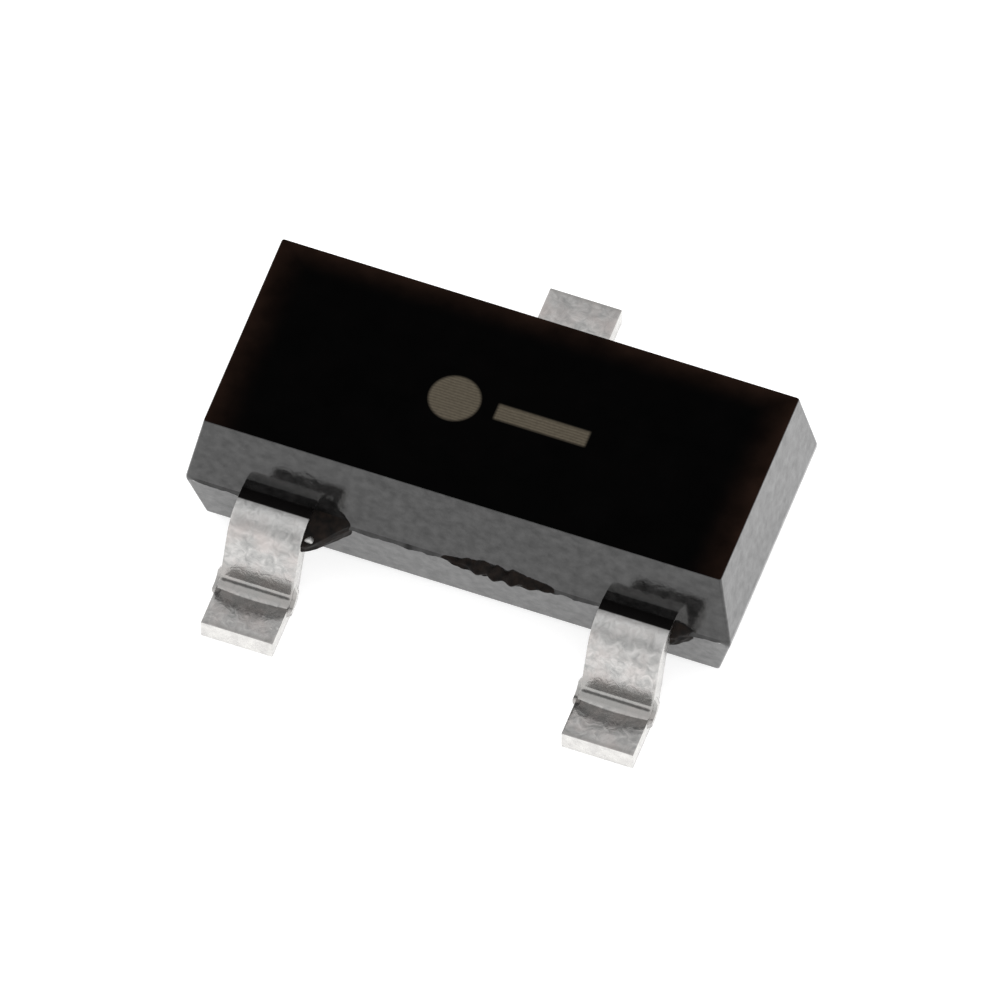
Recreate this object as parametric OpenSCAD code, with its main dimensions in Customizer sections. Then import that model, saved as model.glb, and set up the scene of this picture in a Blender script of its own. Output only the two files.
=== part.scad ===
// Three-lead small-outline transistor: a moulded block with its stamped leads, die and bond wires.
// The soles of the feet stand on Z = 0 and the block is centred on X and Y.
// The two front leads point to -Y and the single rear lead points to +Y. Sizes are in millimetres.

/* [Moulded body] */
// Length of the block along X, at the parting line.
body_length = 2.87; // [2.80:0.01:3.04]
// Width of the block along Y, at the parting line.
body_width = 1.26; // [1.20:0.01:1.36]
// Height of the block above the parting line.
upper_height = 0.47; // [0.42:0.01:0.60]
// Height of the block below the parting line.
lower_height = 0.37; // [0.32:0.01:0.46]
// Gap between the board and the underside of the block.
standoff = 0.06; // [0.02:0.01:0.10]
// Draft of the long sides above the parting line, in degrees.
upper_side_draft = 7.6; // [5:0.2:12]
// Draft of the two ends above the parting line, in degrees.
upper_end_draft = 9; // [5:0.2:12]
// Draft of the long sides below the parting line, in degrees.
lower_side_draft = 10.8; // [5:0.2:14]
// Draft of the two ends below the parting line, in degrees.
lower_end_draft = 13.2; // [5:0.2:16]
// Height of the upright band at the parting line, where the two mould halves met.
parting_band = 0.03; // [0.01:0.005:0.06]

/* [Leads outside the body] */
// Distance between the centres of the two front leads.
lead_pitch = 1.90; // [1.80:0.01:2.00]
// Width of every lead.
lead_width = 0.38; // [0.30:0.01:0.48]
// Thickness of the strip that every lead is stamped from.
lead_thickness = 0.12; // [0.08:0.01:0.15]
// Distance from the tips of the front feet to the tip of the rear foot.
lead_span = 2.44; // [2.40:0.01:2.64]
// Length of the flat sole of each foot.
foot_length = 0.24; // [0.15:0.01:0.29]
// Inside radius of both bends of a lead.
bend_radius = 0.05; // [0.02:0.005:0.08]
// Lean of the shank away from upright, in degrees.
shank_lean = 21; // [6:1:24]
// How far the metal squeezed sideways in the lower bend stands out beyond each edge of the lead.
ankle_lip = 0.02; // [0.005:0.005:0.06]
// Depth of that lip below the upper face of the strip.
ankle_lip_depth = 0.05; // [0.02:0.005:0.07]
// How far the lip runs on along the foot.
ankle_run = 0.04; // [0.01:0.01:0.12]

/* [Resin left beside the front leads] */
// How far the web beside the base lead reaches out from the block.
base_web_out = 0.19; // [0.04:0.01:0.22]
// How far the web beside the base lead runs along the block.
base_web_along = 0.20; // [0.06:0.01:0.40]
// How far the web beside the emitter lead reaches out from the block.
emitter_web_out = 0.07; // [0.04:0.01:0.22]
// How far the web beside the emitter lead runs along the block.
emitter_web_along = 0.10; // [0.06:0.01:0.24]

/* [Lead frame inside the body] */
// Length of the narrow neck between the side of the block and the post or paddle.
neck_length = 0.12; // [0.08:0.01:0.20]
// Width of each bonding post along X.
post_width = 0.56; // [0.50:0.01:0.66]
// Depth of each bonding post along Y.
post_depth = 0.30; // [0.22:0.01:0.44]
// Length of the die paddle along X.
paddle_length = 1.04; // [0.80:0.01:1.20]
// Depth of the die paddle along Y.
paddle_depth = 0.82; // [0.70:0.01:0.94]

/* [Die] */
// Length of the sides of the square die.
die_side = 0.42; // [0.34:0.01:0.60]
// Height of the die.
die_height = 0.14; // [0.10:0.01:0.16]
// Thickness of the glue film under the die.
glue_film = 0.015; // [0.010:0.001:0.030]
// How far the glue is squeezed out beyond each side of the die.
glue_squeeze = 0.03; // [0.01:0.005:0.05]
// Length of the sides of each square bond pad.
pad_side = 0.11; // [0.08:0.01:0.14]
// Height of the bond pads above the die.
pad_height = 0.004; // [0.002:0.001:0.008]
// Distance between the centres of the two bond pads.
pad_pitch = 0.20; // [0.16:0.01:0.26]

/* [Bond wires] */
// Diameter of the bond wire.
wire_diameter = 0.03; // [0.018:0.001:0.038]
// Diameter of the flattened ball that starts each wire.
ball_diameter = 0.08; // [0.06:0.005:0.10]
// Height of the flattened ball.
ball_height = 0.024; // [0.016:0.002:0.030]
// Radius of the turn at the top of the loop.
loop_radius = 0.05; // [0.03:0.005:0.07]
// Fall of the wire from the loop to the post, in degrees.
wire_fall = 17; // [16:0.5:20]
// Diameter of the stitch pressed on to the post.
stitch_diameter = 0.10; // [0.07:0.005:0.14]
// Height of the stitch, as a share of the wire's diameter.
stitch_share = 0.55; // [0.52:0.01:0.80]
// How far each stitch sits from the middle of its post, towards the die.
stitch_offset = 0.08; // [0:0.01:0.16]

/* [Hidden] */
$fn = 48;

resin_black = [0.09, 0.09, 0.10];
tin_grey = [0.77, 0.76, 0.74];
glue_silver = [0.66, 0.65, 0.62];
silicon_grey = [0.34, 0.36, 0.42];
wire_gold = [0.86, 0.68, 0.32];

// How far a cutting shape runs past what it cuts.
overrun = 0.5;
// How deep a resin web is rooted in the block.
web_root = 0.04;
// Number of short straight runs that the curved edge of a web is drawn with.
web_runs = 8;

parting_z = standoff + lower_height;
body_top = parting_z + upper_height;
body_face = body_width / 2;

// The strip lies flat in the block with the parting line at the middle of its thickness.
strip_bottom = parting_z - lead_thickness / 2;
strip_top = parting_z + lead_thickness / 2;
neck_end = body_face - neck_length;

// The formed lead: two equal bends with the leaning shank between them.
bend_angle = 90 - shank_lean;
bend_middle = bend_radius + lead_thickness / 2;
bend_drop = bend_middle * (1 - cos(bend_angle));
bend_reach = bend_middle * sin(bend_angle);
shank_drop = parting_z - lead_thickness / 2 - 2 * bend_drop;
shank_length = shank_drop / sin(bend_angle);
shank_reach = shank_length * cos(bend_angle);
foot_tip = lead_span / 2;
heel = foot_tip - foot_length;
shoulder_end = heel - 2 * bend_reach - shank_reach;

// The die is glued to the middle of the paddle.
die_y = neck_end - paddle_depth / 2;
die_bottom = strip_top + glue_film;
die_top = die_bottom + die_height;
pad_top = die_top + pad_height;
stitch_y = -neck_end + post_depth / 2;
stitch_x = lead_pitch / 2 - stitch_offset;
stitch_height = stitch_share * wire_diameter;

// Outline of the block seen from one side: two drafted halves and the upright band between them.
module block_outline(width, upper_draft, lower_draft) {
    half = width / 2;
    upper_inset = (upper_height - parting_band / 2) * tan(upper_draft);
    lower_inset = (lower_height - parting_band / 2) * tan(lower_draft);
    polygon([
        [-half + lower_inset, standoff],
        [half - lower_inset, standoff],
        [half, parting_z - parting_band / 2],
        [half, parting_z + parting_band / 2],
        [half - upper_inset, body_top],
        [-half + upper_inset, body_top],
        [-half, parting_z + parting_band / 2],
        [-half, parting_z - parting_band / 2]
    ]);
}

// The drafted block, before anything is sealed in it.
module moulded_block() {
    intersection() {
        rotate([90, 0, 0])
            linear_extrude(height = body_width + overrun, center = true)
                block_outline(body_length, upper_end_draft, lower_end_draft);
        rotate([90, 0, 90])
            linear_extrude(height = body_length + overrun, center = true)
                block_outline(body_width, upper_side_draft, lower_side_draft);
    }
}

// A thin web of resin, as thick as the strip, in the corner between a lead and the block.
// Its outer edge curves in to the block as it runs away from the lead.
module resin_web(lead_x, out, along) {
    curved_edge = [for (i = [0 : web_runs]) [along * i / web_runs, -out * (1 - pow(i / web_runs, 2))]];
    translate([lead_x + lead_width / 2, -body_face, strip_bottom])
        linear_extrude(height = lead_thickness)
            polygon(concat([[along, web_root], [0, web_root]], curved_edge));
}

// A straight piece of strip along +X, with the middle of the strip on the X axis and its width along Y.
// Its depth is taken from the upper face down.
module straight_piece(length, width, depth) {
    translate([0, -width / 2, lead_thickness / 2 - depth])
        cube([length, width, depth]);
}

// A bend that starts at the origin with the strip along +X, down for a turn of 1 and up for a turn of -1.
// Its depth is taken from the inside of the bend outwards.
module bent_piece(turn, width, depth) {
    rotate([turn > 0 ? -90 : 90, 0, 0])
        translate([0, bend_middle, 0])
            rotate([0, 0, -90])
                rotate_extrude(angle = bend_angle)
                    translate([bend_radius, -width / 2])
                        square([depth, width]);
}

// Carries what follows to the end of a bend, where the strip runs on along +X.
module after_bend(turn) {
    translate([0, 0, -turn * bend_middle])
        rotate([0, turn * bend_angle, 0])
            translate([0, 0, turn * bend_middle])
                children();
}

// The lower end of a lead from the end of its shank on: bend, foot and the lip squeezed out beside them.
module ankle_and_foot() {
    lip_width = lead_width + 2 * ankle_lip;
    bent_piece(-1, lead_width, lead_thickness);
    bent_piece(-1, lip_width, ankle_lip_depth);
    after_bend(-1) {
        straight_piece(foot_length, lead_width, lead_thickness);
        straight_piece(ankle_run, lip_width, ankle_lip_depth);
    }
}

// A formed lead that points to -Y, without its inner end: shoulder, bend, shank and foot.
// Each run is drawn from the end of the one before it.
module formed_lead() {
    shoulder_length = shoulder_end - neck_end;
    rotate([0, 0, -90])
        translate([neck_end, 0, parting_z]) {
            straight_piece(shoulder_length, lead_width, lead_thickness);
            translate([shoulder_length, 0, 0]) {
                bent_piece(1, lead_width, lead_thickness);
                after_bend(1) {
                    straight_piece(shank_length, lead_width, lead_thickness);
                    translate([shank_length, 0, 0])
                        ankle_and_foot();
                }
            }
        }
}

// A front lead: the formed strip and its bonding post, wider than the neck so that the resin holds it.
module front_lead(lead_x) {
    translate([lead_x, 0, 0]) {
        formed_lead();
        translate([-post_width / 2, -neck_end, strip_bottom])
            cube([post_width, post_depth, lead_thickness]);
    }
}

module base_lead() {
    color(tin_grey)
        front_lead(-lead_pitch / 2);
}

module emitter_lead() {
    color(tin_grey)
        front_lead(lead_pitch / 2);
}

// The rear lead, in one piece with the paddle.
module collector_lead() {
    color(tin_grey) {
        rotate([0, 0, 180])
            formed_lead();
        translate([-paddle_length / 2, neck_end - paddle_depth, strip_bottom])
            cube([paddle_length, paddle_depth, lead_thickness]);
    }
}

module die_attach() {
    glue_side = die_side + 2 * glue_squeeze;
    color(glue_silver)
        translate([-glue_side / 2, die_y - glue_side / 2, strip_top])
            cube([glue_side, glue_side, glue_film]);
}

// The die with its two bond pads, the base pad to -X.
module silicon_die() {
    color(silicon_grey) {
        translate([-die_side / 2, die_y - die_side / 2, die_bottom])
            cube([die_side, die_side, die_height]);
        for (side = [-1, 1])
            translate([side * pad_pitch / 2 - pad_side / 2, die_y - pad_side / 2, die_top])
                cube([pad_side, pad_side, pad_height]);
    }
}

// The flattened ball at the start of a wire: a ball with its top and bottom pressed flat.
module wire_ball() {
    intersection() {
        translate([0, 0, ball_height / 2])
            sphere(d = ball_diameter);
        translate([-ball_diameter, -ball_diameter, 0])
            cube([2 * ball_diameter, 2 * ball_diameter, ball_height]);
    }
}

// The bare wire of a loop, from its turn: the rise below it on one side and the straight fall on the other.
module wire_loop(rise, fall) {
    rotate([180, 0, 0])
        cylinder(h = rise, d = wire_diameter);
    translate([loop_radius, 0, 0])
        rotate([90, 0, 0])
            rotate([0, 0, 90 - wire_fall]) {
                rotate_extrude(angle = 90 + wire_fall)
                    translate([loop_radius, 0])
                        circle(d = wire_diameter);
                translate([loop_radius, 0, 0])
                    rotate([90, 0, 0])
                        cylinder(h = fall, d = wire_diameter);
            }
}

// A wire from a bond pad to a post: ball, loop and stitch, with the end of the fall pressed flat on the post.
module bond_wire(side) {
    start = [side * pad_pitch / 2, die_y];
    finish = [side * stitch_x, stitch_y];
    run = norm(finish - start);
    heading = atan2(finish[1] - start[1], finish[0] - start[0]);
    fall = (run - loop_radius - loop_radius * sin(wire_fall)) / cos(wire_fall);
    turn_z = strip_top + fall * sin(wire_fall) - loop_radius * cos(wire_fall);
    color(wire_gold)
        translate([start[0], start[1], 0])
            rotate([0, 0, heading]) {
                translate([0, 0, pad_top])
                    wire_ball();
                difference() {
                    translate([0, 0, turn_z])
                        wire_loop(turn_z - pad_top - ball_height / 2, fall);
                    translate([run - overrun, -overrun, strip_top - overrun])
                        cube([2 * overrun, 2 * overrun, overrun]);
                }
                translate([run, 0, strip_top])
                    cylinder(h = stitch_height, d = stitch_diameter);
            }
}

module base_bond_wire() {
    bond_wire(-1);
}

module emitter_bond_wire() {
    bond_wire(1);
}

// The moulded block, filled round everything that is sealed in it.
module mould_body() {
    color(resin_black)
        difference() {
            union() {
                moulded_block();
                resin_web(-lead_pitch / 2, base_web_out, base_web_along);
                resin_web(lead_pitch / 2, emitter_web_out, emitter_web_along);
            }
            collector_lead();
            base_lead();
            emitter_lead();
            die_attach();
            silicon_die();
            base_bond_wire();
            emitter_bond_wire();
        }
}

mould_body();
collector_lead();
base_lead();
emitter_lead();
die_attach();
silicon_die();
base_bond_wire();
emitter_bond_wire();
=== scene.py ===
import math

import bmesh
import bpy
from mathutils import Matrix, Vector, noise


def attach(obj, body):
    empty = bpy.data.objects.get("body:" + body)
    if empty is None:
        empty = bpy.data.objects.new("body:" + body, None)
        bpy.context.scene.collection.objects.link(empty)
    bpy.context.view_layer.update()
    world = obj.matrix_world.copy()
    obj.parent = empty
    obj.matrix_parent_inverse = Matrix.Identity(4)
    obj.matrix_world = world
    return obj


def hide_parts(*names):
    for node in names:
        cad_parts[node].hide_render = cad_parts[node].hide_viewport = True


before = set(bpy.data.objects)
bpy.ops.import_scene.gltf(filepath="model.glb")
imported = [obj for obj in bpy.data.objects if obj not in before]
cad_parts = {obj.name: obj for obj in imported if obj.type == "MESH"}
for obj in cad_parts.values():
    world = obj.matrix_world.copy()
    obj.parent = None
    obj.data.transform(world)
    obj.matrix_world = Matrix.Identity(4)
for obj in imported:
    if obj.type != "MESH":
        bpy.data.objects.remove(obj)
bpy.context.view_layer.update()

# The moulded block. Black filled epoxy, pressed into a split mould round the lead frame in one shot.
# Both halves are drafted, and where they met a thin ragged fin of resin is left along the two long sides.
# All meshes are drawn in millimetres and brought to metres when they are finished.
block_length, block_width = 2.87, 1.26
parting_z, parting_band = 0.43, 0.03
upper_height, upper_side_draft, upper_end_draft = 0.47, math.radians(7.6), math.radians(9)
lower_height, lower_side_draft, lower_end_draft = 0.37, math.radians(10.8), math.radians(13.2)
block_top, block_foot = parting_z + upper_height, parting_z - lower_height
corner_round, top_round, foot_round = 0.012, 0.006, 0.010
slices_along_block = 200
same_level = 1e-4


def drafted_half(bm, pick, rise, side_draft, end_draft):
    """Draws one half of the block out of the band at the parting line, smaller by its drafts."""
    face = pick(bm.faces, key=lambda f: f.calc_center_median().z)
    drawn = bmesh.ops.extrude_face_region(bm, geom=[face])
    bmesh.ops.delete(bm, geom=[face], context="FACES_ONLY")
    verts = [v for v in drawn["geom"] if isinstance(v, bmesh.types.BMVert)]
    bmesh.ops.translate(bm, vec=(0, 0, rise), verts=verts)
    side_inset, end_inset = abs(rise) * math.tan(side_draft), abs(rise) * math.tan(end_draft)
    shrink = (1 - 2 * end_inset / block_length, 1 - 2 * side_inset / block_width, 1)
    bmesh.ops.scale(bm, vec=shrink, verts=verts)


def rim_edges(bm, z):
    """The edges that lie level at one height."""
    return [e for e in bm.edges if all(abs(v.co.z - z) < same_level for v in e.verts)]


def round_edges(bm, edges, radius, steps):
    bmesh.ops.bevel(bm, geom=edges, offset=radius, offset_type="OFFSET", segments=steps, profile=0.5,
                    affect="EDGES", material=-1, clamp_overlap=True)


def slice_across(bm, axis, low, high, cuts):
    """Cuts a mesh into even slices, so that a long flat side can carry a wavy detail."""
    normal = Vector((axis == 0, axis == 1, axis == 2))
    for cut in range(1, cuts):
        at = normal * (low + (high - low) * cut / cuts)
        whole = bm.verts[:] + bm.edges[:] + bm.faces[:]
        bmesh.ops.bisect_plane(bm, geom=whole, plane_co=at, plane_no=normal, dist=1e-6)


block = bmesh.new()
bmesh.ops.create_cube(block, size=1)
bmesh.ops.scale(block, vec=(block_length, block_width, parting_band), verts=block.verts)
bmesh.ops.translate(block, vec=(0, 0, parting_z), verts=block.verts)
drafted_half(block, max, upper_height - parting_band / 2, upper_side_draft, upper_end_draft)
drafted_half(block, min, -(lower_height - parting_band / 2), lower_side_draft, lower_end_draft)
corner_edges = [e for e in block.edges if abs(e.verts[0].co.z - e.verts[1].co.z) > same_level]
round_edges(block, corner_edges, corner_round, 3)
round_edges(block, rim_edges(block, block_top), top_round, 2)
round_edges(block, rim_edges(block, block_foot), foot_round, 2)
slice_across(block, 0, -block_length / 2, block_length / 2, slices_along_block)
slice_across(block, 2, parting_z - parting_band, parting_z + parting_band, 2)

fin_mean, fin_swing, fin_least, fin_fade, fin_droop = 0.013, 0.007, 0.003, 0.12, 0.25
fin_waves, fin_ripples, ripple_share = 14, 43, 0.6


def fin_reach(x, side):
    """How far the fin stands out at a place along the block: ragged, and gone before the corners."""
    waves = noise.noise(Vector((x * fin_waves, side * 3.1, 0.4)))
    ripples = noise.noise(Vector((x * fin_ripples, side * 7.7, 2.6)))
    reach = max(fin_least, fin_mean + fin_swing * (waves + ripple_share * ripples))
    run_out = min(1.0, (block_length / 2 - corner_round - abs(x)) / fin_fade)
    return reach * max(0.0, run_out)


at_long_side = block_width / 2 - 0.001
for v in block.verts:
    if abs(v.co.z - parting_z) < same_level and abs(v.co.y) > at_long_side:
        side = math.copysign(1, v.co.y)
        reach = fin_reach(v.co.x, side)
        v.co.y += side * reach
        v.co.z -= fin_droop * reach

# The flash. Right of the middle of the front the mould leaked, and a torn lump of resin was left on the
# parting line. It is one with the block: a thin lens with ragged edges above and below, rooted in the side.
flash_start, flash_length, flash_out, flash_rise, flash_drop = -0.10, 0.64, 0.050, 0.062, 0.026
flash_root, flash_taper, flash_blunting = 0.04, 0.65, 0.3
flash_waves, flash_ripples, flash_lumps = 17, 41, 22
flash_slices = (80, 5, 14)
torn_resin_slot = 2


def add_shape(bm, shape):
    """Joins a finished shape to the mesh of the piece that it is one with."""
    mesh = bpy.data.meshes.new("shape")
    shape.to_mesh(mesh)
    bm.from_mesh(mesh)
    shape.free()
    bpy.data.meshes.remove(mesh)


def add_torn_resin(shape, blunting):
    """Blunts the ragged points of a lump of torn resin and joins it to the block."""
    bmesh.ops.smooth_vert(shape, verts=shape.verts, factor=blunting, use_axis_x=True, use_axis_y=True,
                          use_axis_z=True)
    for face in shape.faces:
        face.material_index = torn_resin_slot
    add_shape(block, shape)


flash = bmesh.new()
bmesh.ops.create_cube(flash, size=1)
for axis, slices in enumerate(flash_slices):
    slice_across(flash, axis, -0.5, 0.5, slices)
for v in flash.verts:
    along, outward, height = v.co.x + 0.5, 0.5 - v.co.y, 2 * v.co.z
    x = flash_start + flash_length * along
    swell = math.sin(math.pi * along) ** flash_taper
    waves = noise.noise(Vector((x * flash_waves, 3.3 * (height > 0), 0.7)))
    ripples = noise.noise(Vector((x * flash_ripples, 1.9, 4.1)))
    lumps = noise.noise(Vector((x * flash_lumps, height * 2.2, 6.2)))
    full_height = flash_rise if height > 0 else -flash_drop
    z = full_height * abs(height) * swell * (0.75 + 0.65 * (waves + 0.5 * ripples))
    out = flash_out * swell * (1 - height ** 2) * (0.85 + 0.4 * lumps)
    draft_back = max(0.0, z) * math.tan(upper_side_draft)
    v.co = (x, draft_back + flash_root - block_width / 2 - (flash_root + out) * outward, parting_z + z)
add_torn_resin(flash, flash_blunting)

# The webs. Resin filled the corners beside the front leads, up to the tie bar that joined them in the strip.
# They are one with the block too, and stayed as ragged lumps when the bar was cut away.
lead_pitch, lead_width, lead_thickness = 1.90, 0.38, 0.12
strip_bottom = parting_z - lead_thickness / 2
web_root, web_fall, web_ragged, web_tears, web_bow, web_blunting = 0.04, 0.06, 0.016, 22, 1.3, 0.5
base_web_out, base_web_along = 0.19, 0.20
emitter_web_out, emitter_web_along = 0.07, 0.10
web_cuts, tear_seed = 11, 3
noise.seed_set(tear_seed)
for lead_x, out, along in ((-lead_pitch / 2, base_web_out, base_web_along),
                           (lead_pitch / 2, emitter_web_out, emitter_web_along)):
    web = bmesh.new()
    bmesh.ops.create_cube(web, size=1)
    bmesh.ops.subdivide_edges(web, edges=web.edges[:], cuts=web_cuts, use_grid_fill=True)
    for v in web.verts:
        across, outward, height = v.co.x + 0.5, 0.5 - v.co.y, v.co.z + 0.5
        reach = web_root + out * (1 - across ** web_bow)
        fall = web_fall * outward ** 2 * (1 - 0.5 * across)
        v.co = (lead_x + lead_width / 2 + along * across, web_root - block_width / 2 - reach * outward,
                strip_bottom + (lead_thickness - fall) * height)
        rough = noise.noise_vector(v.co * web_tears) * web_ragged * outward
        v.co += Vector((0, abs(rough.y), -abs(rough.z) * height))
    add_torn_resin(web, web_blunting)

# The sides of the block. They took the half-gloss of the polished mould, broken by the fine grain of the
# filler. Bare resin lies over the filler in blotches, as a thin clear skin.
side_dark, side_light, side_grain = (0.001, 0.001, 0.001), (0.012, 0.0115, 0.0115), (0.06, 0.055, 0.05)
side_relief = 0.0006


def mottle_group():
    """Blotches and fine grain over a surface, each of a size given in millimetres."""
    group = bpy.data.node_groups.new("mottle_and_grain", "ShaderNodeTree")
    for name, value in (("Blotch Size", 0.06), ("Blotch Swirl", 0.0), ("Grain Size", 0.012)):
        socket = group.interface.new_socket(name, in_out="INPUT", socket_type="NodeSocketFloat")
        socket.default_value = value
    for name in ("Blotch", "Grain"):
        group.interface.new_socket(name, in_out="OUTPUT", socket_type="NodeSocketFloat")
    nodes, links = group.nodes, group.links
    inlet, outlet = nodes.new("NodeGroupInput"), nodes.new("NodeGroupOutput")
    place = nodes.new("ShaderNodeTexCoord")
    for name, detail, rough in (("Blotch", 3.0, 0.55), ("Grain", 4.0, 0.6)):
        scale = nodes.new("ShaderNodeMath")
        scale.operation = "DIVIDE"
        scale.inputs[0].default_value = 1000
        links.new(inlet.outputs[name + " Size"], scale.inputs[1])
        cloud = nodes.new("ShaderNodeTexNoise")
        cloud.inputs["Detail"].default_value = detail
        cloud.inputs["Roughness"].default_value = rough
        links.new(place.outputs["Object"], cloud.inputs["Vector"])
        links.new(scale.outputs["Value"], cloud.inputs["Scale"])
        links.new(cloud.outputs["Fac"], outlet.inputs[name])
        if name == "Blotch":
            links.new(inlet.outputs["Blotch Swirl"], cloud.inputs["Distortion"])
    return group


mottle = mottle_group()


def new_material(name):
    material = bpy.data.materials.new(name)
    material.use_nodes = True
    nodes, links = material.node_tree.nodes, material.node_tree.links
    return material, nodes, links, nodes["Principled BSDF"]


def add_mottle(nodes, blotch, grain, swirl=0.0):
    spots = nodes.new("ShaderNodeGroup")
    spots.node_tree = mottle
    spots.inputs["Blotch Size"].default_value = blotch
    spots.inputs["Blotch Swirl"].default_value = swirl
    spots.inputs["Grain Size"].default_value = grain
    return spots


def spread_values(nodes, links, source, low, high, start=0.3, stop=0.7):
    """Turns a mask into values between low and high."""
    remap = nodes.new("ShaderNodeMapRange")
    remap.inputs["From Min"].default_value = start
    remap.inputs["From Max"].default_value = stop
    remap.inputs["To Min"].default_value = low
    remap.inputs["To Max"].default_value = high
    links.new(source, remap.inputs["Value"])
    return remap.outputs["Result"]


def blend_colours(nodes, links, source, first, second):
    """Blends two colours by a mask."""
    mix = nodes.new("ShaderNodeMix")
    mix.data_type = "RGBA"
    mix.inputs[6].default_value = (*first, 1)
    mix.inputs[7].default_value = (*second, 1)
    links.new(source, mix.inputs["Factor"])
    return mix.outputs[2]


def lay_over(nodes, links, source, under, colour):
    """Lays a colour over what is there already, where a mask lets it."""
    mix = nodes.new("ShaderNodeMix")
    mix.data_type = "RGBA"
    mix.inputs[7].default_value = (*colour, 1)
    links.new(under, mix.inputs[6])
    links.new(source, mix.inputs["Factor"])
    return mix.outputs[2]


def add_relief(nodes, links, shader, source, depth):
    """Raises a mask into fine relief, with its depth in millimetres."""
    bump = nodes.new("ShaderNodeBump")
    bump.inputs["Strength"].default_value = 1
    bump.inputs["Distance"].default_value = depth / 1000
    links.new(source, bump.inputs["Height"])
    links.new(bump.outputs["Normal"], shader.inputs["Normal"])


resin_sides, nodes, links, shader = new_material("resin_sides")
spots = add_mottle(nodes, 0.05, 0.012)
tone = spread_values(nodes, links, spots.outputs["Blotch"], 0, 1)
filled = blend_colours(nodes, links, tone, side_dark, side_light)
grains = spread_values(nodes, links, spots.outputs["Grain"], 0, 0.5, 0.64, 0.74)
links.new(lay_over(nodes, links, grains, filled, side_grain), shader.inputs["Base Color"])
links.new(spread_values(nodes, links, spots.outputs["Blotch"], 0.06, 0.12), shader.inputs["Roughness"])
links.new(spread_values(nodes, links, spots.outputs["Blotch"], 0, 0.35), shader.inputs["Coat Weight"])
shader.inputs["Coat Roughness"].default_value = 0.1
shader.inputs["IOR"].default_value = 1.46
shader.inputs["Sheen Weight"].default_value = 0.15
shader.inputs["Sheen Roughness"].default_value = 0.35
add_relief(nodes, links, shader, spots.outputs["Blotch"], side_relief)

# The top of the block. It was ground dull, so it hardly mirrors, and its colour is painted blacker than the
# sides as painted shade, for the little light that falls on it. It is worn brown towards the ends and the
# rear. A laser burnt a plain mark into it, a dot and a bar, in fine lines that left the filler bare and tan
# grey.
resin_top, nodes, links, shader = new_material("resin_top")
top_slot = 1
top_dark, top_light, top_worn = (0.0003, 0.0003, 0.0003), (0.0008, 0.0007, 0.0007), (0.030, 0.015, 0.010)
top_relief = 0.0005
worn_from_end, worn_from_rear = 1.15, 0.40
dot_centre, dot_radius = (-0.24, -0.02), 0.13
bar_centre, bar_half_length, bar_half_width = (0.22, -0.02), 0.24, 0.045
mark_soft, mark_line, mark_colour = 0.008, 0.016, (0.109, 0.093, 0.069)


def measure(nodes, links, operation, first, second):
    """One step of measuring on the surface: an operation between a place and a vector in millimetres."""
    step = nodes.new("ShaderNodeVectorMath")
    step.operation = operation
    links.new(first, step.inputs[0])
    step.inputs[1].default_value = Vector(second) / 1000
    return step


def fade(nodes, links, distance, before, after, start, stop):
    """Goes from one value to another between two distances in millimetres."""
    return spread_values(nodes, links, distance, before, after, start / 1000, stop / 1000)


def within(nodes, links, distance, limit):
    """A mask that is 1 up to a limit in millimetres and fades out over the soft edge of the mark."""
    return fade(nodes, links, distance, 1, 0, limit - mark_soft, limit + mark_soft)


def combine(nodes, links, operation, first, second):
    joined = nodes.new("ShaderNodeMath")
    joined.operation = operation
    links.new(first, joined.inputs[0])
    links.new(second, joined.inputs[1])
    return joined.outputs["Value"]


place = nodes.new("ShaderNodeTexCoord").outputs["Object"]
from_dot = measure(nodes, links, "DISTANCE", place, (*dot_centre, block_top))
in_dot = within(nodes, links, from_dot.outputs["Value"], dot_radius)
from_bar = measure(nodes, links, "SUBTRACT", place, (*bar_centre, block_top))
either_side = measure(nodes, links, "ABSOLUTE", from_bar.outputs["Vector"], (0, 0, 0))
bar_reach = nodes.new("ShaderNodeSeparateXYZ")
links.new(either_side.outputs["Vector"], bar_reach.inputs["Vector"])
in_bar = [within(nodes, links, bar_reach.outputs["X"], bar_half_length),
          within(nodes, links, bar_reach.outputs["Y"], bar_half_width)]
marked = combine(nodes, links, "MAXIMUM", in_dot, combine(nodes, links, "MULTIPLY", *in_bar))
scan_lines = nodes.new("ShaderNodeTexWave")
scan_lines.bands_direction = "Y"
scan_lines.inputs["Scale"].default_value = math.pi / 10 / (mark_line / 1000)
scan_lines.inputs["Distortion"].default_value = 1.5
links.new(place, scan_lines.inputs["Vector"])
burnt = spread_values(nodes, links, scan_lines.outputs["Fac"], 0.72, 1, 0, 1)
spots = add_mottle(nodes, 0.16, 0.014)
patchy = spread_values(nodes, links, spots.outputs["Grain"], 0.78, 1)
marked = combine(nodes, links, "MULTIPLY", marked, combine(nodes, links, "MULTIPLY", burnt, patchy))
tone = spread_values(nodes, links, spots.outputs["Blotch"], 0, 1)
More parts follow.
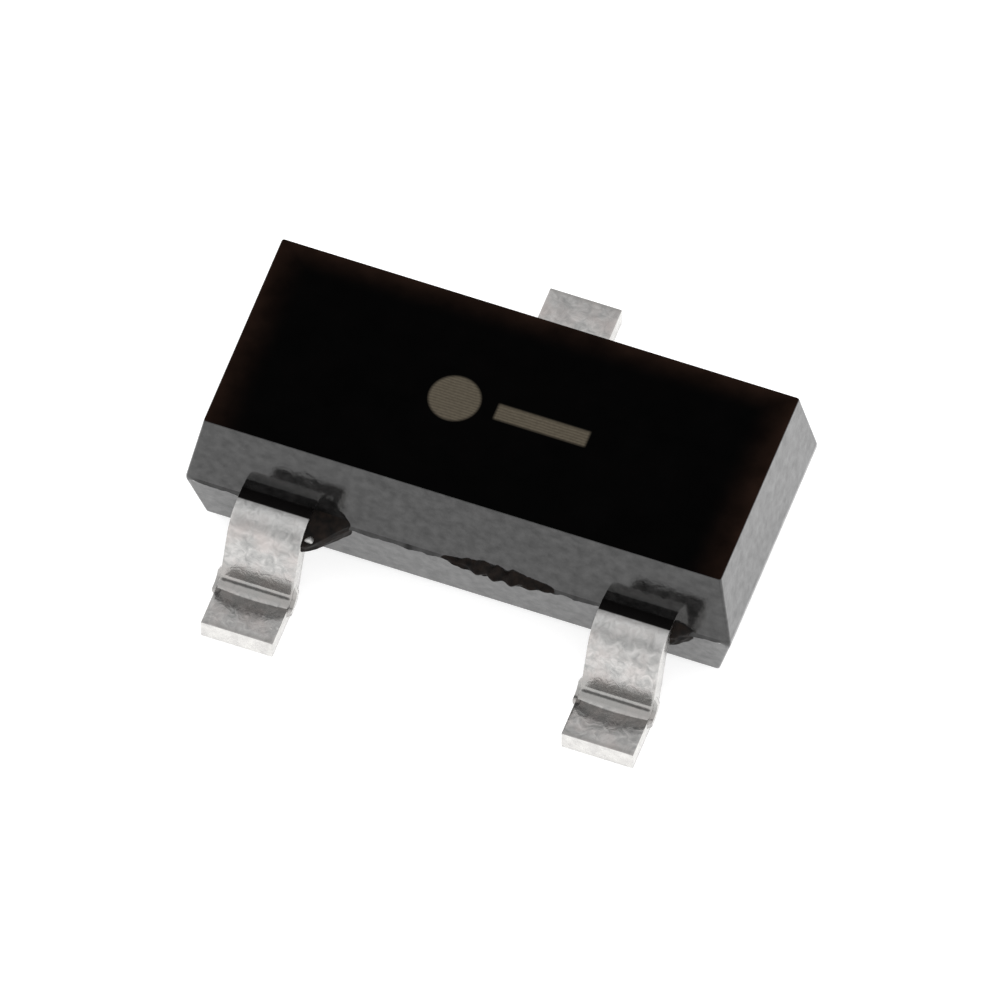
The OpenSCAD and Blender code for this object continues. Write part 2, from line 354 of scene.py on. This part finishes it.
# Painted shade: the top's tones are set blacker than the sides, for the little light that falls on it.
shaded_and_worn_top = blend_colours(nodes, links, tone, top_dark, top_light)
either_end = measure(nodes, links, "ABSOLUTE", place, (0, 0, 0))
towards_ends = nodes.new("ShaderNodeSeparateXYZ")
links.new(either_end.outputs["Vector"], towards_ends.inputs["Vector"])
towards_rear = nodes.new("ShaderNodeSeparateXYZ")
links.new(place, towards_rear.inputs["Vector"])
at_rim = combine(nodes, links, "MAXIMUM",
                 fade(nodes, links, towards_ends.outputs["X"], 0, 1, worn_from_end, block_length / 2),
                 fade(nodes, links, towards_rear.outputs["Y"], 0, 1, worn_from_rear, block_width / 2))
at_rim = combine(nodes, links, "MULTIPLY", at_rim, at_rim)
uneven = spread_values(nodes, links, spots.outputs["Blotch"], 0.4, 1)
worn = combine(nodes, links, "MULTIPLY", at_rim, uneven)
shaded_and_worn_top = lay_over(nodes, links, worn, shaded_and_worn_top, top_worn)
links.new(lay_over(nodes, links, marked, shaded_and_worn_top, mark_colour), shader.inputs["Base Color"])
links.new(spread_values(nodes, links, spots.outputs["Grain"], 0.30, 0.42), shader.inputs["Roughness"])
shader.inputs["Specular IOR Level"].default_value = 0.01
add_relief(nodes, links, shader, spots.outputs["Grain"], top_relief)

# The torn resin of the flash and the webs. It never took the polish of the mould, so it is dull and coarse,
# and thin enough to look a little browner than the block.
torn_dark, torn_light, torn_relief = (0.001, 0.001, 0.001), (0.013, 0.0085, 0.0065), 0.0015
resin_torn, nodes, links, shader = new_material("resin_torn")
spots = add_mottle(nodes, 0.04, 0.010)
tone = spread_values(nodes, links, spots.outputs["Blotch"], 0, 1)
links.new(blend_colours(nodes, links, tone, torn_dark, torn_light), shader.inputs["Base Color"])
links.new(spread_values(nodes, links, spots.outputs["Grain"], 0.35, 0.55), shader.inputs["Roughness"])
shader.inputs["Specular IOR Level"].default_value = 0.08
add_relief(nodes, links, shader, spots.outputs["Grain"], torn_relief)


def finish_piece(name, bm, materials, sharp=35, flat_area=1):
    """Brings a mesh from millimetres to metres, gives it its materials and puts it in the scene.

    Edges over sharp, in degrees, stay sharp, and so do faces of flat_area square millimetres or more.
    """
    bmesh.ops.remove_doubles(bm, verts=bm.verts, dist=1e-5)
    bmesh.ops.dissolve_degenerate(bm, dist=1e-5, edges=bm.edges)
    bmesh.ops.recalc_face_normals(bm, faces=bm.faces)
    bmesh.ops.scale(bm, vec=(0.001, 0.001, 0.001), verts=bm.verts)
    mesh = bpy.data.meshes.new(name)
    bm.to_mesh(mesh)
    bm.free()
    mesh.set_sharp_from_angle(angle=math.radians(sharp))
    for face in mesh.polygons:
        face.use_smooth = face.area < flat_area * 1e-6
    for material in materials:
        mesh.materials.append(material)
    piece = bpy.data.objects.new(name, mesh)
    bpy.context.scene.collection.objects.link(piece)
    return piece


block.normal_update()
for face in block.faces:
    if face.normal.z > 0.9 and face.calc_center_median().z > block_top - 0.01:
        face.material_index = top_slot
block_finishes = [resin_sides, resin_top, resin_torn]
moulding = finish_piece("moulded_block", block, block_finishes, sharp=22, flat_area=0.001)
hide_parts("mould_body")
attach(moulding, "root")

# The leads. Stamped from iron-nickel strip, trimmed free of their tie bars, bent down and out, and tin
# plated. The strip is drawn along its own run: neck and shoulder, bend, leaning shank, bend and foot.
# Inside the block each front lead ends in a bonding post, and the rear lead in the paddle for the die.
lead_span, foot_length, bend_radius, shank_lean = 2.44, 0.24, 0.05, math.radians(21)
neck_length, strip_round = 0.12, 0.006
strip_across, bend_steps, shank_steps, foot_steps = 16, 14, 10, 36
paddle_length, paddle_depth, post_width, post_depth = 1.04, 0.82, 0.56, 0.30
bend_turn = math.pi / 2 - shank_lean
bend_middle = bend_radius + lead_thickness / 2
bend_reach = bend_middle * math.sin(bend_turn)
shank_drop = parting_z - lead_thickness / 2 - 2 * bend_middle * (1 - math.cos(bend_turn))
shank_length = shank_drop / math.sin(bend_turn)
heel = lead_span / 2 - foot_length
shoulder_end = heel - 2 * bend_reach - shank_length * math.cos(bend_turn)
neck_end = block_width / 2 - neck_length
down_the_shank = Vector((0, -math.cos(bend_turn), -math.sin(bend_turn)))


def strip_rim(bm, width, low, high, across):
    """The rim of a cut across the strip, between a point of its lower and one of its upper face."""
    places = [width * (i / across - 0.5) for i in range(across + 1)]
    rim = [bm.verts.new((x, *low)) for x in places] + [bm.verts.new((x, *high)) for x in reversed(places)]
    return [bm.edges.new((rim[i - 1], rim[i])) for i in range(len(rim))]


def run_straight(bm, rim, way, steps=1, widen=1.0):
    """Draws a rim on along a straight way, wider with each step if it has to be."""
    for step in range(steps):
        drawn = bmesh.ops.extrude_edge_only(bm, edges=rim)["geom"]
        verts = [g for g in drawn if isinstance(g, bmesh.types.BMVert)]
        rim = [g for g in drawn if isinstance(g, bmesh.types.BMEdge)]
        bmesh.ops.translate(bm, vec=way / steps, verts=verts)
        bmesh.ops.scale(bm, vec=(widen, 1, 1), verts=verts)
    return rim


def run_bend(bm, rim, y, z, turn):
    """Draws a rim round a bend with its centre at y and z."""
    verts = list({v for e in rim for v in e.verts})
    spun = bmesh.ops.spin(bm, geom=verts + rim, cent=(0, y, z), axis=(math.copysign(1, turn), 0, 0),
                          angle=abs(turn), steps=bend_steps, use_merge=False, use_duplicate=False)
    return [g for g in spun["geom_last"] if isinstance(g, bmesh.types.BMEdge)]


def close_and_round(bm, rims, radius):
    """Closes the ends of a drawn strip and rounds its long and end edges."""
    for rim in rims:
        bmesh.ops.contextual_create(bm, geom=rim)
    bmesh.ops.recalc_face_normals(bm, faces=bm.faces)
    round_edges(bm, [e for e in bm.edges if e.calc_face_angle(0) > math.radians(60)], radius, 2)


def add_plate(bm, x, y, length, depth):
    """A flat part of the lead frame inside the block, centred on x with its rear edge at y."""
    plate = bmesh.ops.create_cube(bm, size=1)["verts"]
    bmesh.ops.scale(bm, vec=(length, depth, lead_thickness), verts=plate)
    bmesh.ops.translate(bm, vec=(x, y - depth / 2, parting_z), verts=plate)


# The foot of a lead. The forming punch pressed a shallow dent into its upper face, deepest next to the lower
# bend and with a rounded outer edge towards the tip.
dent_length, dent_depth, dent_curve, dent_start = 0.165, 0.009, 0.52, 0.15


def formed_strip():
    """The strip of a lead that points to -Y, without its post or paddle."""
    strip = bmesh.new()
    first = strip_rim(strip, lead_width, (-neck_end, strip_bottom),
                      (-neck_end, strip_bottom + lead_thickness), strip_across)
    rim = run_straight(strip, first, Vector((0, neck_end - shoulder_end, 0)))
    rim = run_bend(strip, rim, -shoulder_end, strip_bottom - bend_radius, bend_turn)
    rim = run_straight(strip, rim, down_the_shank * shank_length, shank_steps)
    rim = run_bend(strip, rim, -heel, lead_thickness + bend_radius, -bend_turn)
    last = run_straight(strip, rim, Vector((0, -foot_length, 0)), foot_steps)
    close_and_round(strip, (first, last), strip_round)
    for v in strip.verts:
        if abs(v.co.z - lead_thickness) < same_level and v.co.y < -heel:
            reach = dent_length * (1 - dent_curve * (2 * v.co.x / lead_width) ** 2)
            along = min(1.0, (-v.co.y - heel) / reach)
            v.co.z -= dent_depth * (1 - along) ** 2 * min(1.0, along / dent_start)
    return strip


# The lip of a lead. In the lower bend the metal on the inside was squeezed out sideways, and stands beyond
# both edges of the strip as a low rib that runs out on the shank and on the foot.
lip_out, lip_depth, lip_below, lip_rise, lip_run, lip_taper = 0.02, 0.05, 0.014, 0.05, 0.02, 0.03
lip_hidden, lip_round, lip_across = 0.01, 0.004, 4


def ankle_lip():
    """The rib in the lower bend of a lead that points to -Y, with both ends hidden in the strip."""
    lip = bmesh.new()
    width = lead_width + 2 * lip_out
    arm = Vector((math.sin(bend_turn), -math.cos(bend_turn)))
    centre = Vector((-heel, lead_thickness + bend_radius))
    rise = down_the_shank.yz * -lip_rise
    narrow = (lead_width - 2 * lip_hidden) / width
    first = strip_rim(lip, width * narrow, centre + arm * (bend_radius + lip_depth) + rise,
                      centre + arm * (bend_radius + lip_below) + rise, lip_across)
    rim = run_straight(lip, first, down_the_shank * lip_rise, widen=1 / narrow)
    rim = run_bend(lip, rim, *centre, -bend_turn)
    rim = run_straight(lip, rim, Vector((0, -lip_run, 0)))
    last = run_straight(lip, rim, Vector((0, -lip_taper, 0)), widen=narrow)
    close_and_round(lip, (first, last), lip_round)
    return lip


# The stub of the tie bar. It was sheared off beside the base lead after the moulding, and its bent-up end
# shows through the resin web there. It is one with the lead.
stub_size, stub_tilt, stub_round = (0.06, 0.03, 0.03), math.radians(-35), 0.008
stub_beside, stub_y, stub_z = 0.022, -0.775, 0.436


def add_stub(bm, edge_x):
    stub = bmesh.ops.create_cube(bm, size=1)["verts"]
    bmesh.ops.scale(bm, vec=stub_size, verts=stub)
    bmesh.ops.rotate(bm, cent=(0, 0, 0), matrix=Matrix.Rotation(stub_tilt, 3, "Y"), verts=stub)
    bmesh.ops.translate(bm, vec=(edge_x + stub_beside, stub_y, stub_z), verts=stub)
    edges = list({e for v in stub for e in v.link_edges})
    round_edges(bm, edges, stub_round, 2)


# The tin on the rolled faces of the leads: a matte plated skin, crinkled and faintly warm. The visible
# shoulder next to the block is painted resin black, so the tin starts at the upper bend, which is stretched
# matte and painted pale as a highlight. The lower bend is darkened with painted shade that stands for the
# mirrored foot, and a painted dark line of shade runs along the edge of the tip.
tin_dark, tin_light, tin_warm = (0.29, 0.29, 0.285), (0.50, 0.49, 0.48), (0.54, 0.48, 0.46)
painted_bend_highlight, painted_ankle_shade, painted_tip_shade = (0.64, 0.64, 0.635), (0.24, 0.235, 0.225), (0.28, 0.27, 0.26)
tin_relief, tin_edge_tint = 0.0009, (0.6, 0.6, 0.6, 1)
shoulder_black, shoulder_black_edge, shoulder_black_fade = (0.012, 0.011, 0.011), shoulder_end + 0.002, 0.003
bend_highlight_end = shoulder_black_edge + 0.15
bend_end = shoulder_end + (bend_radius + lead_thickness) * math.sin(bend_turn)
bend_fade, bend_roughness = 0.03, 0.45
ankle_shade_start, ankle_shade_full, ankle_shade_end = heel - 0.085, heel - 0.06, heel + 0.02
tip_edge = lead_span / 2 - 0.012
tip_fade = 0.018
tin, nodes, links, shader = new_material("matte_tin")
spots = add_mottle(nodes, 0.05, 0.012, 1.2)
tints = add_mottle(nodes, 0.13, 0.03)
tone = spread_values(nodes, links, spots.outputs["Blotch"], 0, 1)
skin = blend_colours(nodes, links, tone, tin_dark, tin_light)
warm = spread_values(nodes, links, tints.outputs["Blotch"], 0, 0.5, 0.45, 0.7)
skin = lay_over(nodes, links, warm, skin, tin_warm)
place = nodes.new("ShaderNodeTexCoord").outputs["Object"]
outwards = nodes.new("ShaderNodeSeparateXYZ")
links.new(measure(nodes, links, "ABSOLUTE", place, (0, 0, 0)).outputs["Vector"], outwards.inputs["Vector"])
out_along = outwards.outputs["Y"]
# Painted highlight: the upper bend is made paler for the light it catches.
bend_highlight = fade(nodes, links, out_along, 1, 0, shoulder_black_edge, bend_highlight_end)
patchy = spread_values(nodes, links, spots.outputs["Blotch"], 0.45, 1)
skin = lay_over(nodes, links, combine(nodes, links, "MULTIPLY", bend_highlight, patchy), skin, painted_bend_highlight)
# Painted shade: the lower bend is darkened to stand for the reflection of the foot in it.
above_ankle = fade(nodes, links, out_along, 0, 1, ankle_shade_start, ankle_shade_full)
past_ankle = fade(nodes, links, out_along, 1, 0, heel, ankle_shade_end)
at_ankle = combine(nodes, links, "MULTIPLY", above_ankle, past_ankle)
patchy = spread_values(nodes, links, spots.outputs["Blotch"], 0.25, 0.7)
skin = lay_over(nodes, links, combine(nodes, links, "MULTIPLY", at_ankle, patchy), skin, painted_ankle_shade)
# Painted shade: a dark line along the edge of the tip.
at_tip = fade(nodes, links, out_along, 0, 0.5, tip_edge - tip_fade, tip_edge)
skin = lay_over(nodes, links, at_tip, skin, painted_tip_shade)
# The visible shoulder next to the block is painted resin black, up to the upper bend.
blacked_shoulder = fade(nodes, links, out_along, 1, 0, shoulder_black_edge - shoulder_black_fade, shoulder_black_edge + shoulder_black_fade)
links.new(lay_over(nodes, links, blacked_shoulder, skin, shoulder_black), shader.inputs["Base Color"])
bent = fade(nodes, links, out_along, bend_roughness, 0, bend_end, bend_end + bend_fade)
grainy = spread_values(nodes, links, spots.outputs["Grain"], 0.12, 0.22)
links.new(combine(nodes, links, "MAXIMUM", bent, grainy), shader.inputs["Roughness"])
shader.inputs["Metallic"].default_value = 1
shader.inputs["Specular Tint"].default_value = tin_edge_tint
add_relief(nodes, links, shader, spots.outputs["Blotch"], tin_relief)

# The tin on the sheared sides and ends of the leads, with a soft even grain. They are painted paler than the
# rolled faces, as a painted highlight for the light they catch.
sheared_slot = 1
sheared_dark, sheared_light, sheared_relief = (0.52, 0.51, 0.50), (0.66, 0.65, 0.63), 0.0008
sheared_tin_highlit, nodes, links, shader = new_material("sheared_tin_highlit")
spots = add_mottle(nodes, 0.04, 0.015)
tone = spread_values(nodes, links, spots.outputs["Blotch"], 0, 1)
# Painted highlight: these tones are paler than the rolled faces.
links.new(blend_colours(nodes, links, tone, sheared_dark, sheared_light), shader.inputs["Base Color"])
links.new(spread_values(nodes, links, spots.outputs["Grain"], 0.22, 0.36), shader.inputs["Roughness"])
shader.inputs["Metallic"].default_value = 1
add_relief(nodes, links, shader, spots.outputs["Blotch"], sheared_relief)

lead_places = {"base_lead": -lead_pitch / 2, "emitter_lead": lead_pitch / 2, "collector_lead": 0}
for node, lead_x in lead_places.items():
    lead = formed_strip()
    add_shape(lead, ankle_lip())
    for face in lead.faces:
        tip_face = face.normal.y < -0.9 and face.calc_center_median().y < -lead_span / 2 + 0.01
        if abs(face.normal.x) > 0.8 or tip_face:
            face.material_index = sheared_slot
    if node == "collector_lead":
        half_turn = Matrix.Rotation(math.pi, 3, "Z")
        bmesh.ops.rotate(lead, cent=(0, 0, 0), matrix=half_turn, verts=lead.verts)
        add_plate(lead, 0, neck_end, paddle_length, paddle_depth)
    else:
        bmesh.ops.translate(lead, vec=(lead_x, 0, 0), verts=lead.verts)
        add_plate(lead, lead_x, -neck_end + post_depth, post_width, post_depth)
    if node == "base_lead":
        add_stub(lead, lead_x + lead_width / 2)
    piece = finish_piece("formed_" + node, lead, [tin, sheared_tin_highlit])
    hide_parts(node)
    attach(piece, "root")

# The die, its glue and its wires, sealed in the block. Sawn silicon, silver-filled glue and drawn gold wire.
# They keep the solids of the frame and only get their finishes here.
inner_relief = 0.0004


def finish_sealed(name, sealed_nodes, dark, light, smooth, rough, metal):
    """Makes a finish that varies between two colours and two roughnesses, and gives it to CAD nodes."""
    material, nodes, links, shader = new_material(name)
    spots = add_mottle(nodes, 0.05, 0.008)
    tone = spread_values(nodes, links, spots.outputs["Blotch"], 0, 1)
    links.new(blend_colours(nodes, links, tone, dark, light), shader.inputs["Base Color"])
    links.new(spread_values(nodes, links, spots.outputs["Grain"], smooth, rough), shader.inputs["Roughness"])
    shader.inputs["Metallic"].default_value = metal
    add_relief(nodes, links, shader, spots.outputs["Grain"], inner_relief)
    for node in sealed_nodes:
        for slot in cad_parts[node].material_slots:
            slot.material = material


finish_sealed("silicon", ["silicon_die"], dark=(0.05, 0.055, 0.075), light=(0.10, 0.105, 0.13),
              smooth=0.12, rough=0.25, metal=0.3)
finish_sealed("silver_glue", ["die_attach"], dark=(0.42, 0.41, 0.38), light=(0.58, 0.57, 0.53),
              smooth=0.45, rough=0.65, metal=0.6)
finish_sealed("gold_wire", ["base_bond_wire", "emitter_bond_wire"], dark=(0.80, 0.55, 0.20),
              light=(0.90, 0.66, 0.30), smooth=0.18, rough=0.32, metal=1.0)

# The floor: a plain white table that runs out past the picture. It is white to the eye and in reflections,
# brighter there on the right, and still takes the shadow of the part.
floor_half, floor_drop, table_white = 60, 0.002, (0.62, 0.62, 0.62, 1)
seen_white, mirrored_white, mirrored_right = 0.72, 0.85, 1.2
right_start, right_full = 1.4, 2.2
floor_mesh = bmesh.new()
bmesh.ops.create_grid(floor_mesh, x_segments=1, y_segments=1, size=floor_half)
bmesh.ops.translate(floor_mesh, vec=(0, 0, -floor_drop), verts=floor_mesh.verts)
white_table, nodes, links, shader = new_material("white_table")
shader.inputs["Base Color"].default_value = table_white
shader.inputs["Roughness"].default_value = 0.9
shader.inputs["Emission Color"].default_value = (1, 1, 1, 1)
across = nodes.new("ShaderNodeSeparateXYZ")
links.new(nodes.new("ShaderNodeTexCoord").outputs["Object"], across.inputs["Vector"])
lit_side = fade(nodes, links, across.outputs["X"], mirrored_white, mirrored_right, right_start, right_full)
path = nodes.new("ShaderNodeLightPath").outputs
mirrored = combine(nodes, links, "MAXIMUM", path["Is Glossy Ray"], path["Is Transmission Ray"])
mirrored = combine(nodes, links, "MULTIPLY", mirrored, lit_side)
seen = spread_values(nodes, links, path["Is Camera Ray"], 0, seen_white, 0, 1)
links.new(combine(nodes, links, "MAXIMUM", seen, mirrored), shader.inputs["Emission Strength"])
floor = finish_piece("floor", floor_mesh, [white_table])

# The light: a white tent, brightest low at the front. It is dimmer above and behind the part, and has a
# dark gap in front, to the left of the camera. Weak soft boxes stand left and right.
world = bpy.data.worlds.new("white_tent")
bpy.context.scene.world = world
world.use_nodes = True
nodes, links = world.node_tree.nodes, world.node_tree.links
way = nodes.new("ShaderNodeTexCoord").outputs["Generated"]
tent_white, tent_front = 1.08, 1.38


def tent_opening(nodes, links, way, towards, rim, middle, left):
    """Darkens the tent towards an opening: the cosines at its rim and middle, and the light left there."""
    facing = nodes.new("ShaderNodeVectorMath")
    facing.operation = "DOT_PRODUCT"
    facing.inputs[1].default_value = towards
    links.new(way, facing.inputs[0])
    return spread_values(nodes, links, facing.outputs["Value"], 1, left, rim, middle)


above = tent_opening(nodes, links, way, towards=(-0.18, 0.72, 0.67), rim=0.90, middle=1, left=0.70)
in_front = tent_opening(nodes, links, way, towards=(-0.18, -0.71, 0.68), rim=0.92, middle=0.985, left=0.2)
towards_front = nodes.new("ShaderNodeSeparateXYZ")
links.new(way, towards_front.inputs["Vector"])
wall = spread_values(nodes, links, towards_front.outputs["Y"], tent_front, tent_white, -0.85, -0.3)
openings = combine(nodes, links, "MULTIPLY", above, in_front)
links.new(combine(nodes, links, "MULTIPLY", openings, wall), nodes["Background"].inputs["Strength"])
nodes["Background"].inputs["Color"].default_value = (1, 1, 1, 1)


def soft_box(name, place, aim, width, height, brightness):
    """A lamp with its place and size in millimetres, and its brightness as the white it shows."""
    lamp = bpy.data.lights.new(name, "AREA")
    lamp.shape = "RECTANGLE"
    lamp.size, lamp.size_y = width / 1000, height / 1000
    lamp.energy = brightness * math.pi * lamp.size * lamp.size_y
    holder = bpy.data.objects.new(name, lamp)
    place, aim = Vector(place) / 1000, Vector(aim) / 1000
    turn = (place - aim).to_track_quat("Z", "Y").to_matrix().to_4x4()
    holder.matrix_world = Matrix.Translation(place) @ turn
    bpy.context.scene.collection.objects.link(holder)


soft_box("left_box", place=(-15, -4, 10), aim=(0, 0, 0.4), width=10, height=8, brightness=0.4)
soft_box("right_box", place=(15, -3, 9), aim=(0, 0, 0.4), width=10, height=8, brightness=0.5)

# The camera: parallel view, as through a long lens far off, down on the front of the part from its right.
# A point on the middle line of the block lies at a known pixel of the square picture.
turn_right, look_down, eye_distance = math.radians(20.12), math.radians(57.51), 40
picture_pixels, pixels_per_mm = 1000, 202.09
aim_point, aim_pixel_x, aim_pixel_y = Vector((0, 0, 0.48)), 501.6, 454.84
right = Vector((math.cos(turn_right), math.sin(turn_right), 0))
back = Vector((math.sin(turn_right) * math.cos(look_down), -math.cos(turn_right) * math.cos(look_down),
               math.sin(look_down)))
up = back.cross(right)
shift_right = (picture_pixels / 2 - aim_pixel_x) / pixels_per_mm
shift_down = (picture_pixels / 2 - aim_pixel_y) / pixels_per_mm
middle = aim_point + right * shift_right - up * shift_down
camera = bpy.data.cameras.new("camera")
camera.type = "ORTHO"
camera.ortho_scale = picture_pixels / pixels_per_mm / 1000
camera.clip_start, camera.clip_end = 0.001, 1
eye = bpy.data.objects.new("camera", camera)
facing = Matrix((right, up, back)).transposed().to_4x4()
eye.matrix_world = Matrix.Translation((middle + back * eye_distance) / 1000) @ facing
bpy.context.scene.collection.objects.link(eye)
bpy.context.scene.camera = eye

bpy.context.scene.view_settings.view_transform = "Standard"
